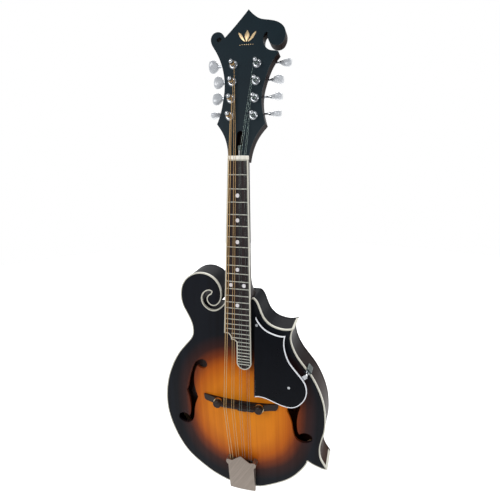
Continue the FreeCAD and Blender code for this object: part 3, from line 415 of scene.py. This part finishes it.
# the depth and the height of a point of the scene, measured on the headstock
def toHead(point):
    turn = math.radians(headSlope["degrees"])
    c, s = math.cos(turn), math.sin(turn)
    y = point.y * 1000 - headSlope["y"]
    z = point.z * 1000 - headSlope["z"]
    return y * c - z * s, y * s + z * c


def makePiece(name, vertices, faces, finish, slot, sharp=40.0):
    mesh = bpy.data.meshes.new(name)
    mesh.from_pydata([tuple(v) for v in vertices], [], faces)
    tidyNormals(mesh)
    mesh.materials.append(materials[finish])
    smoothByAngle(mesh, sharp)
    piece = bpy.data.objects.new(name, mesh)
    bpy.context.scene.collection.objects.link(piece)
    return piece


def tidyNormals(mesh):
    work = bmesh.new()
    work.from_mesh(mesh)
    bmesh.ops.recalc_face_normals(work, faces=work.faces)
    work.to_mesh(mesh)
    work.free()


# quads between rings of equal length; the ends are closed, or the last ring meets the first
def joinRings(rings, endless=False):
    count = len(rings[0])
    vertices = [v for ring in rings for v in ring]
    faces = []
    for row in range(len(rings) if endless else len(rings) - 1):
        for step in range(count):
            a = row * count + step
            b = row * count + (step + 1) % count
            faces.append((a, b, (b + count) % len(vertices), (a + count) % len(vertices)))
    if not endless:
        faces.append(tuple(range(count))[::-1])
        faces.append(tuple(range(len(vertices) - count, len(vertices))))
    return vertices, faces


# a round rod along a path; the ring's frame is carried along so that it doesn't twist
def tube(path, radius, sides=10):
    rings = []
    side = None
    for index, point in enumerate(path):
        before = path[max(index - 1, 0)]
        after = path[min(index + 1, len(path) - 1)]
        ahead = (after - before).normalized()
        if side is None:
            side = ahead.orthogonal().normalized()
        side = (side - ahead * side.dot(ahead)).normalized()
        other = ahead.cross(side)
        rings.append([point + side * (radius * math.cos(turn)) + other * (radius * math.sin(turn))
                      for turn in (math.tau * step / sides for step in range(sides))])
    return joinRings(rings)


# a turned piece about the headstock's depth at one post; the profile is radius and depth
def lathe(profile, x0, z0, steps, endless=False):
    rings = []
    for radius, depth in profile:
        turns = [math.tau * step / steps for step in range(steps)]
        rings.append([onHead(x0 + radius * math.cos(turn), depth, z0 + radius * math.sin(turn))
                      for turn in turns])
    return joinRings(rings, endless)


# the same path with each leg cut into short pieces
def spread(points, amount):
    path = [points[0]]
    for a, b in zip(points, points[1:]):
        pieces = max(1, round((b - a).length / amount))
        path += [a.lerp(b, step / pieces) for step in range(1, pieces + 1)]
    return path


# points of the smooth curve from the second of four points to the third
def curveBetween(around, between):
    p0, p1, p2, p3 = around
    rows = []
    for step in range(between):
        t = step / between
        rows.append(p1 + ((p2 - p0) * t + (p0 * 2 - p1 * 5 + p2 * 4 - p3) * (t * t)
                          + (p1 * 3 - p0 - p2 * 3 + p3) * (t * t * t)) * 0.5)
    return rows


strings = {
    "g": {"gauge": 1.00, "nut": -10.5, "saddle": -18.0, "hook": -14.5, "finish": "bronze_string"},
    "d": {"gauge": 0.66, "nut": -3.65, "saddle": -6.0, "hook": -4.8, "finish": "bronze_string"},
    "a": {"gauge": 0.38, "nut": 3.65, "saddle": 6.0, "hook": 4.8, "finish": "steel_string"},
    "e": {"gauge": 0.28, "nut": 10.5, "saddle": 18.0, "hook": 14.5, "finish": "steel_string"},
}
stringing = {"nutGap": 1.2, "saddleGap": 1.65, "hookGap": 2.0, "nutRest": 1.2, "saddleLift": 26.5,
             "hookLift": 11.6, "hookHeight": 54.0, "saddleHeight": 163.0, "frontEdge": -21.75,
             "nutLength": 5.2, "nutFall": 0.35, "windDepth": -6.1,
             "tailStep": 0.004, "boardStep": 0.006, "loopReach": 1.5, "loopDrop": 4.2, "loopSteps": 18}
posts = {"offset": 16.5, "first": 59.5, "spacing": 23.5, "radius": 3.0, "windLow": -4.5,
         "windHigh": -7.7, "leastTurns": 2.5, "mostTurns": 7.0,
         "profile": [(0.05, -13.3), (0.8, -13.25), (1.6, -12.95), (2.25, -12.45), (2.7, -11.8),
                     (2.95, -11.0), (3.0, -10.2), (3.0, -9.3), (2.88, -8.9), (2.6, -8.4),
                     (2.55, -8.0), (2.55, -3.9), (2.6, -3.6), (2.9, -3.1), (3.0, -2.9), (3.0, 18.2),
                     (1.9, 18.25), (1.9, 21.6), (0.05, 21.6)],
         "gearDepth": 15.0}
ferrules = {"profile": [(3.07, 5.9), (3.07, -0.7), (3.25, -1.0), (3.7, -1.2), (4.3, -1.1), (4.9, -0.8),
                        (5.5, -0.2), (5.9, 0.0), (5.9, 0.4), (4.4, 0.5), (4.4, 5.9)], "steps": 48}
tuners = [(sideName + "_" + str(index + 1), side, index,
           side * posts["offset"], posts["first"] + posts["spacing"] * index)
          for sideName, side in (("bass", -1), ("treble", 1)) for index in range(4)]


# the pair, and the string of it, that one post winds
def postString(side, index):
    name = ("d" if index >= 2 else "g") if side < 0 else ("a" if index >= 2 else "e")
    return name, (-1 if index % 2 == 0 else 1) * (1 if side < 0 else -1)


# one string's points over the hook, the saddle and the nut
def stringRests(name, which):
    pair, where = strings[name], stringing
    hook = Vector((pair["hook"] + which * where["hookGap"], where["frontEdge"] - where["hookLift"],
                   where["hookHeight"])) / 1000
    saddle = Vector((pair["saddle"] + which * where["saddleGap"],
                     where["frontEdge"] - where["saddleLift"], where["saddleHeight"])) / 1000
    x = pair["nut"] + which * where["nutGap"]
    nut = onNeck(x, -where["nutRest"], 0)
    behind = onNeck(x, -where["nutRest"] + where["nutFall"], where["nutLength"])
    return hook, saddle, nut, behind


# where a string that leaves the nut behind it first touches its winding
def windingPoint(name, behind, side, x0, z0):
    x = behind.x * 1000
    z = toHead(behind)[1]
    wrap = posts["radius"] - 0.4 + strings[name]["gauge"] / 2
    across, along = x0 - x, z0 - z
    span = math.hypot(across, along)
    reach = math.sqrt(span * span - wrap * wrap)
    turn = side * wrap / span
    way = Vector((across * reach / span - along * turn, 0, along * reach / span + across * turn)) / span
    return onHead(x + way.x * reach, stringing["windDepth"], z + way.z * reach)


# the loop of the string's end that lies around one hook, and the twist in front of it
def hookLoop(hook, gauge):
    reach = stringing["loopReach"] + gauge / 2
    half = stringing["loopDrop"] / 2
    twist = hook + Vector((0, 0, 0.0006))
    loop = []
    for step in range(stringing["loopSteps"] + 1):
        turn = math.radians(-150 + 300 * step / stringing["loopSteps"])
        loop.append(hook + Vector((reach * math.sin(turn), 0.0, -half - half * math.cos(turn))) / 1000)
    return [twist] + loop + [twist]


# each string is in two lengths that meet on the saddle
def makeStrings():
    for post, side, index, x0, z0 in tuners:
        name, which = postString(side, index)
        hook, saddle, nut, behind = stringRests(name, which)
        end = windingPoint(name, behind, side, x0, z0)
        radius = strings[name]["gauge"] / 2000
        finish = strings[name]["finish"]
        label = name + ("1" if which < 0 else "2")
        tailPath = spread([hook, saddle], stringing["tailStep"])
        boardPath = spread([end, behind, behind.lerp(nut, 0.3), nut, saddle], stringing["boardStep"])
        tail = makePiece("stringTail_" + label, *tube(tailPath, radius), finish, finish)
        board = makePiece("stringBoard_" + label, *tube(boardPath, radius), finish, finish)
        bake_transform(tail)
        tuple(hook)
        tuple(saddle)
        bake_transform(board)
        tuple(nut)
        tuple(saddle)
        loopPath = hookLoop(hook, strings[name]["gauge"])
        loop = makePiece("stringLoop_" + label, *tube(loopPath, radius * 0.7), finish, finish)
        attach(loop, "root")
        if which < 0:
            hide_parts("strings_" + name)


# turns of string that lie against each other on a post
def coil(side, x0, z0, gauge):
    low, high = posts["windLow"], posts["windHigh"]
    turns = (low - high - gauge) / gauge
    turns = max(posts["leastTurns"], min(turns, posts["mostTurns"]))
    radius = posts["radius"] - 0.45 + gauge / 2
    steps = int(turns * 20)
    path = []
    for step in range(steps + 1):
        part = step / steps
        angle = -side * math.tau * turns * part
        y = low - gauge / 2 + (high - low + gauge) * part
        path.append(onHead(x0 - side * radius * math.cos(angle), y, z0 + radius * math.sin(angle)))
    return path


# a mesh's separate bodies, as sets of vertices
def islands(work):
    todo = set(work.verts)
    while todo:
        island = set()
        stack = [todo.pop()]
        while stack:
            vertex = stack.pop()
            if vertex not in island:
                island.add(vertex)
                stack += [edge.other_vert(vertex) for edge in vertex.link_edges]
        todo -= island
        yield island


# the worm wheel and its screw, taken from the frame's own post
def gearOf(node):
    work = bmesh.new()
    work.from_mesh(node.data)
    bmesh.ops.remove_doubles(work, verts=work.verts, dist=1e-7)
    doomed = []
    for island in islands(work):
        if min(toHead(vertex.co)[0] for vertex in island) < posts["gearDepth"]:
            doomed += island
    bmesh.ops.delete(work, geom=doomed, context="VERTS")
    vertices = [v.co.copy() for v in work.verts]
    work.verts.index_update()
    faces = [tuple(v.index for v in face.verts) for face in work.faces]
    work.free()
    return vertices, faces


def makePosts():
    for label, side, index, x0, z0 in tuners:
        name, which = postString(side, index)
        gauge, finish = strings[name]["gauge"], strings[name]["finish"]
        turned = makePiece("post_" + label, *lathe(posts["profile"], x0, z0, 40),
                           "nickel", "nickel", 60)
        wheel = makePiece("wormWheel_" + label, *gearOf(nodes["tuner_post_" + label]),
                          "nickel", "nickel", 25)
        wound = makePiece("winding_" + label, *tube(coil(side, x0, z0, gauge), gauge / 2000, 8),
                          finish, finish)
        for piece in (turned, wheel, wound):
            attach(piece, "post_" + label)
        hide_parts("tuner_post_" + label)


def makeFerrules():
    for label, side, index, x0, z0 in tuners:
        piece = makePiece("ferrule_" + label,
                          *lathe(ferrules["profile"], x0, z0, ferrules["steps"], True),
                          "nickel", "nickel", 50)
        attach(piece, "root")
        if label == "bass_1":
            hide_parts("tuner_bushings")


# a station is the distance from the button's start, then half its width and half its thickness
buttons = {"starts": (35.0, 35.0, 35.0, 44.5), "worm": 9.25, "depth": 19.7, "around": 40,
           "squareness": 0.86,
           "turns": {-1: (99.0, -7.0, -2.0, 20.0), 1: (112.0, 95.0, 86.0, 143.0)},
           "stations": [(0.0, 1.9, 1.8), (0.25, 2.5, 2.5), (1.2, 3.9, 3.0), (2.6, 5.6, 3.35),
                        (4.6, 7.4, 3.7), (7.4, 8.8, 4.15), (10.2, 9.0, 4.5), (12.2, 8.3, 4.6),
                        (13.6, 7.0, 4.25), (14.5, 5.2, 3.3), (14.85, 3.4, 2.2), (14.95, 0.2, 0.15)]}


def smoothStations(stations):
    last = len(stations) - 1
    rows = []
    for index in range(last):
        around = [Vector(stations[min(max(index + shift, 0), last)]) for shift in (-1, 0, 1, 2)]
        rows += curveBetween(around, 3)
    return rows + [Vector(stations[-1])]


def squared(size, wave):
    return size * math.copysign(abs(wave) ** buttons["squareness"], wave)


def makeButtons():
    around = buttons["around"]
    for label, side, index, x0, z0 in tuners:
        turn = math.radians(buttons["turns"][side][index])
        c, s = math.cos(turn), math.sin(turn)
        rings = []
        for x, wide, deep in smoothStations(buttons["stations"]):
            ring = []
            for step in range(around):
                angle = math.tau * step / around
                y = squared(deep, math.cos(angle))
                z = squared(wide, math.sin(angle))
                ring.append(onHead(side * (buttons["starts"][index] + x),
                                   buttons["depth"] + y * c - z * s,
                                   z0 + buttons["worm"] + y * s + z * c))
            rings.append(ring)
        piece = makePiece("button_" + label, *joinRings(rings), "button_pearl", "button_pearl", 60)
        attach(piece, "knob_" + label)
        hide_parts("tuner_button_" + label)


# a plain flower of three leaves over a row of lozenges
ornament = {"middle": 168.0, "lift": 0.12, "sunk": 0.3,
            "leaf": [(0.0, -7.0), (1.6, -4.0), (3.1, -0.5), (3.0, 3.2), (1.5, 6.6), (0.0, 9.0)],
            "wing": [(1.6, -6.6), (5.2, -5.2), (9.0, -1.6), (11.6, 3.4), (12.4, 6.6), (9.6, 5.0),
                     (6.8, 1.6), (4.6, -2.2)],
            "rowHeight": -11.0, "rowSpacing": 3.0, "rowCount": 7, "lozenge": 1.1, "lozengeLoss": 0.12}


# a thin flat inlay with a slightly smaller front, just proud of the face
def inlay(name, outline):
    cx = sum(x for x, z in outline) / len(outline)
    cz = sum(z for x, z in outline) / len(outline)
    lift = ornament["lift"]
    rings = []
    for depth, size in ((ornament["sunk"], 1.0), (-lift * 0.5, 1.0), (-lift, 0.97)):
        rings.append([onHead(cx + (x - cx) * size, depth, ornament["middle"] + cz + (z - cz) * size)
                      for x, z in outline])
    piece = makePiece(name, *joinRings(rings), "gold", "pearl", 30)
    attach(piece, "root")


# a smooth closed curve through the points
def rounded(points):
    count = len(points)
    path = []
    for index in range(count):
        around = [Vector(points[(index + shift) % count]) for shift in (-1, 0, 1, 2)]
        path += curveBetween(around, 6)
    return [(v.x, v.y) for v in path]


def makeOrnament():
    leaf = ornament["leaf"] + [(-x, z) for x, z in ornament["leaf"][-2:0:-1]]
    inlay("inlayLeaf", rounded(leaf))
    inlay("inlayTreble", rounded(ornament["wing"]))
    inlay("inlayBass", rounded([(-x, z) for x, z in ornament["wing"]]))
    z = ornament["rowHeight"]
    for place in range(ornament["rowCount"]):
        step = place - ornament["rowCount"] // 2
        x = step * ornament["rowSpacing"]
        size = ornament["lozenge"] - abs(step) * ornament["lozengeLoss"]
        inlay("inlayDot" + str(place + 1),
              [(x - size, z), (x, z - size * 0.7), (x + size, z), (x, z + size * 0.7)])


makeStrings()
print("strings made")
makePosts()
makeFerrules()
makeButtons()
print("tuners made")
makeOrnament()
print("inlay made")

stage = {"floorRadius": 3.4, "floorHeight": -0.42, "floorSides": 96,
         "skyFront": (0.26, 0.27, 0.29), "skyBack": (1.0, 1.0, 1.0), "skyTurn": (-0.15, 0.30)}
lamps = {"keySoft": {"place": (-0.7, -1.3, 1.25), "aim": (0.0, 0.0, 0.30), "size": (0.9, 0.9), "watts": 17.0},
         "sideSoft": {"place": (1.3, -0.7, 0.7), "aim": (0.0, 0.0, 0.35), "size": (0.35, 1.2), "watts": 5.0},
         "backFloor": {"place": (0.0, 2.6, 2.2), "aim": (0.0, 3.4, -0.4), "size": (3.5, 2.5), "watts": 170.0}}
view = {"lens": 30.46, "sensor": 36.0, "place": (0.17475, -0.55708, 0.54021),
        "yaw": 0.2869, "pitch": -0.2533, "roll": -0.0181}


def addFloor():
    radius, sides = stage["floorRadius"], stage["floorSides"]
    turns = [math.tau * step / sides for step in range(sides)]
    edge = [(radius * math.cos(turn), radius * math.sin(turn), stage["floorHeight"]) for turn in turns]
    mesh = bpy.data.meshes.new("floor")
    mesh.from_pydata(edge, [], [tuple(range(sides))])
    mesh.materials.append(makeMaterial("palePaper", palePaper, Roughness=0.95, Specular_IOR_Level=0.0))
    floor = bpy.data.objects.new("floor", mesh)
    bpy.context.scene.collection.objects.link(floor)


def addWorld():
    world = bpy.data.worlds.new("studio")
    bpy.context.scene.world = world
    world.use_nodes = True
    flow = Flow(world.node_tree)
    x, y, z = flow.xyz(flow.node("TexCoord", {}, {}, "Generated"))
    sky = world.node_tree.nodes["Background"]
    flow.feed(sky.inputs[0], flow.mix(y.between(*stage["skyTurn"]), stage["skyFront"], stage["skyBack"]))


def addLamps():
    for name, lamp in lamps.items():
        light = bpy.data.lights.new(name, "AREA")
        light.shape = "RECTANGLE"
        light.size, light.size_y = lamp["size"]
        light.energy = lamp["watts"]
        holder = bpy.data.objects.new(name, light)
        bpy.context.scene.collection.objects.link(holder)
        holder.location = lamp["place"]
        away = Vector(lamp["aim"]) - Vector(lamp["place"])
        holder.rotation_euler = away.to_track_quat("-Z", "Y").to_euler()


def addCamera():
    lens = bpy.data.cameras.new("camera")
    lens.lens = view["lens"]
    lens.sensor_width = view["sensor"]
    lens.clip_start = 0.01
    lens.clip_end = 50.0
    camera = bpy.data.objects.new("camera", lens)
    bpy.context.scene.collection.objects.link(camera)
    yaw, pitch, roll = view["yaw"], view["pitch"], view["roll"]
    ahead = Vector((-math.sin(yaw) * math.cos(pitch), math.cos(yaw) * math.cos(pitch), math.sin(pitch)))
    right = Vector((math.cos(yaw), math.sin(yaw), 0.0))
    up = right.cross(ahead)
    rolledRight = right * math.cos(roll) + up * math.sin(roll)
    rolledUp = up * math.cos(roll) - right * math.sin(roll)
    turn = Matrix((rolledRight, rolledUp, -ahead)).transposed()
    camera.matrix_world = Matrix.Translation(view["place"]) @ turn.to_4x4()
    bpy.context.scene.camera = camera


addFloor()
addWorld()
addCamera()
addLamps()
bpy.context.scene.view_settings.view_transform = "Standard"
print("stage set")
